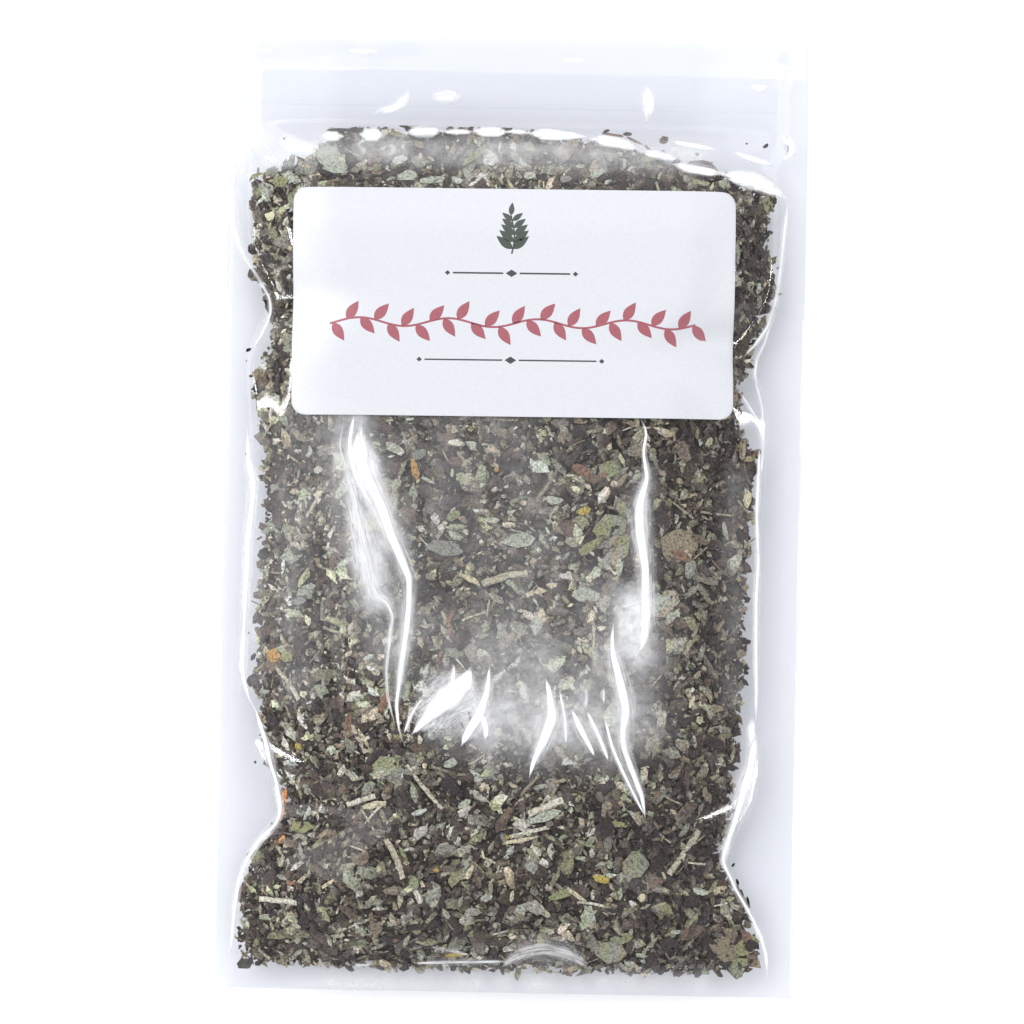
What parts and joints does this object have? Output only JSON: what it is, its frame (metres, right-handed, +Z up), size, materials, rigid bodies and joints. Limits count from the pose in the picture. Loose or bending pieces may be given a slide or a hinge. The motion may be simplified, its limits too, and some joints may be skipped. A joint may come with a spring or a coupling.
{
  "type": "pouch of cut dried sage",
  "caption": "Clear flat grip-seal pouch filled with dried, cut sage, lying on its back, with a white paper label on the front.",
  "frame": {"origin": "middle of the pouch's outline, on the surface that its back lies on", "axes": "+X across the pouch, +Y along it towards its mouth, +Z up out of its front"},
  "size_m": [0.12, 0.2, 0.0185],
  "materials": {
    "film": "clear, thin polyethylene film",
    "zip_plastic": "clear, a little cloudy",
    "paper": "white coated paper, satin",
    "herb": "matt, dried and cut leaf, dark grey-brown with grey-green",
    "pale_leaf": "matt, woolly dried leaf, pale grey-green",
    "straw": "matt, dried stem, straw-coloured"
  },
  "bodies": {
    "root": {"pouch": "film", "zip_rib_strip": "zip_plastic", "zip_groove_strip": "zip_plastic", "label": "paper", "cut_sage": "herb", "stem_piece_01": "straw", "stem_piece_02": "straw", "stem_piece_03": "straw", "stem_piece_04": "straw", "stem_piece_05": "straw", "stem_piece_06": "straw", "stem_piece_07": "straw", "stem_piece_08": "straw", "stem_piece_09": "straw", "stem_piece_10": "straw", "stem_piece_11": "straw", "stem_piece_12": "straw", "stem_piece_13": "straw", "stem_piece_14": "straw", "leaf_piece_01": "pale_leaf", "leaf_piece_02": "pale_leaf", "leaf_piece_03": "pale_leaf", "leaf_piece_04": "pale_leaf", "leaf_piece_05": "pale_leaf", "leaf_piece_06": "pale_leaf", "leaf_piece_07": "pale_leaf", "leaf_piece_08": "pale_leaf", "leaf_piece_09": "pale_leaf", "leaf_piece_10": "pale_leaf"}
  },
  "joints": []
}
